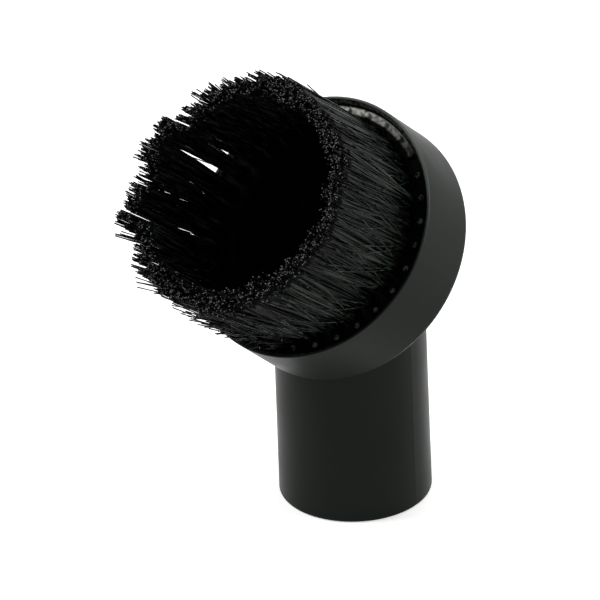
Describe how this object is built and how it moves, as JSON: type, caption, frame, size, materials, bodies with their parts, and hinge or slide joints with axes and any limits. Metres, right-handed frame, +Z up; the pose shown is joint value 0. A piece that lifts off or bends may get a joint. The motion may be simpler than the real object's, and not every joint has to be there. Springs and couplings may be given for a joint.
{
  "type": "vacuum dusting brush",
  "caption": "Round dusting brush for a vacuum cleaner wand: a short push-fit tube carries a tilted round head with a full ring of bristle tufts round its suction opening.",
  "frame": {"origin": "middle of the socket's mouth, on the face that the brush stands on", "axes": "+Z up along the tube, the round head leans towards -Y, and the YZ plane is the plane of symmetry"},
  "size_m": [0.0632, 0.0754, 0.1122],
  "materials": {
    "moulded_body": "moulded black plastic with a fine, slightly satin skin",
    "bristle": "black round filament with a soft sheen",
    "anchor_wire": "drawn flat wire"
  },
  "bodies": {
    "root": {"brush_body": "moulded_body", "wire_anchors": "anchor_wire", "bristle_tuft_01": "bristle", "bristle_tuft_02": "bristle", "bristle_tuft_03": "bristle", "bristle_tuft_04": "bristle", "bristle_tuft_05": "bristle", "bristle_tuft_06": "bristle", "bristle_tuft_07": "bristle", "bristle_tuft_08": "bristle", "bristle_tuft_09": "bristle", "bristle_tuft_10": "bristle", "bristle_tuft_11": "bristle", "bristle_tuft_12": "bristle", "bristle_tuft_13": "bristle", "bristle_tuft_14": "bristle", "bristle_tuft_15": "bristle", "bristle_tuft_16": "bristle", "bristle_tuft_17": "bristle", "bristle_tuft_18": "bristle", "bristle_tuft_19": "bristle", "bristle_tuft_20": "bristle", "bristle_tuft_21": "bristle", "bristle_tuft_22": "bristle", "bristle_tuft_23": "bristle", "bristle_tuft_24": "bristle", "bristle_tuft_25": "bristle", "bristle_tuft_26": "bristle", "bristle_tuft_27": "bristle", "bristle_tuft_28": "bristle", "bristle_tuft_29": "bristle", "bristle_tuft_30": "bristle", "bristle_tuft_31": "bristle", "bristle_tuft_32": "bristle"}
  },
  "joints": []
}
